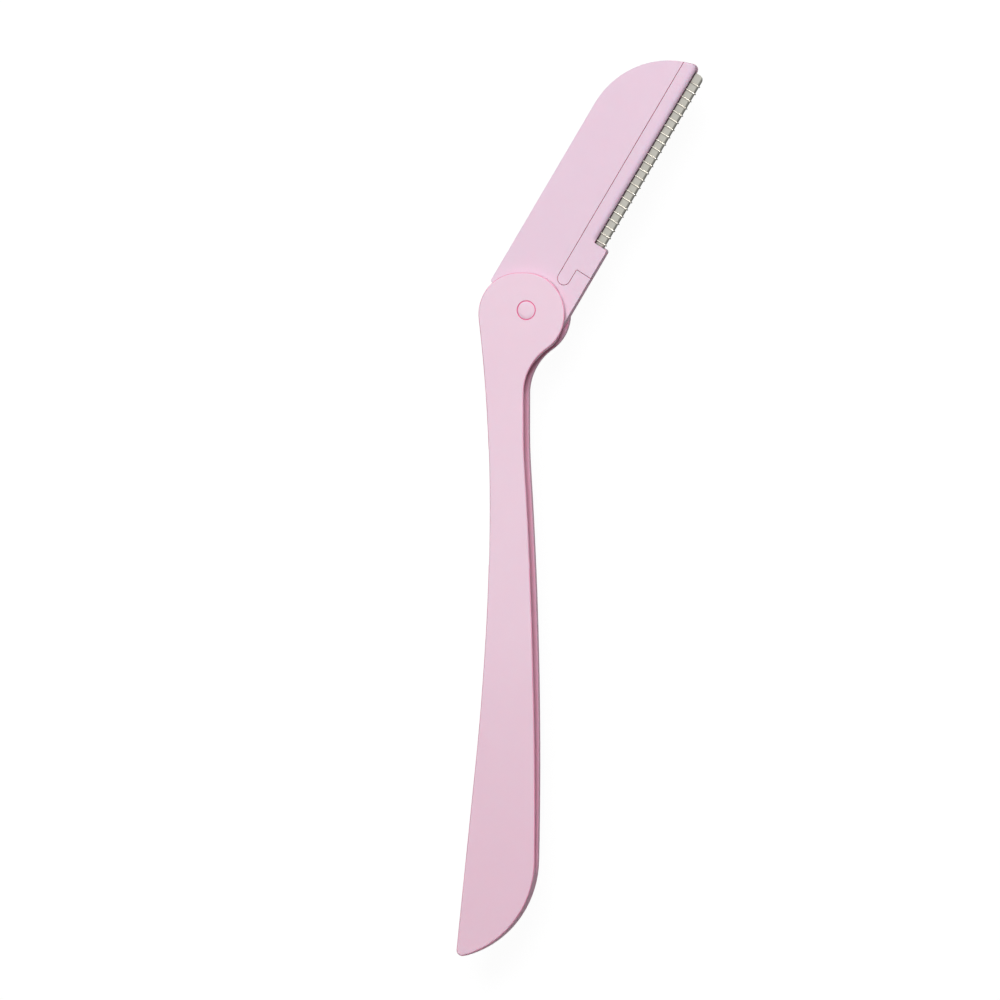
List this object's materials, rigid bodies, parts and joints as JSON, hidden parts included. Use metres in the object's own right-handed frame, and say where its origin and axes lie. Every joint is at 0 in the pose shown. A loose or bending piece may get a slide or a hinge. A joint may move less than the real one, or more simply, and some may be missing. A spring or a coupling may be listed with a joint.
{
  "type": "folding eyebrow razor",
  "caption": "Slim folding eyebrow razor: a two-scale handle with a slot, a pivoting head and a wire-guarded blade held under a clamp strip.",
  "frame": {"origin": "on the pivot axis, in the plane of the handle's flat rear face", "axes": "+Z out of the handle's front face along the pivot axis, -Y along the handle to its tail, +X to the open side of the slot"},
  "size_m": [0.0441, 0.154, 0.0044],
  "materials": {
    "handle_plastic": "satin injection-moulded plastic, pale pink",
    "pin_plastic": "satin moulded plastic, pale pink",
    "head_plastic": "satin injection-moulded plastic, pale pink",
    "clamp_plastic": "satin injection-moulded plastic, pale pink with a lilac cast",
    "blade_steel": "ground stainless steel with a fine bevel",
    "wire_steel": "bright drawn stainless wire"
  },
  "bodies": {
    "handle": {"handle_rear_scale": "handle_plastic", "handle_front_scale": "handle_plastic", "pivot_pin": "pin_plastic"},
    "head": {"head_body": "head_plastic", "blade_clamp": "clamp_plastic", "blade": "blade_steel", "guard_wire": "wire_steel"}
  },
  "joints": [
    {"name": "head_fold", "type": "hinge", "parent": "handle", "child": "head", "pos_m": [0, 0, 0.0022], "axis": [0, 0, -1], "range_deg": [0, 146]}
  ]
}
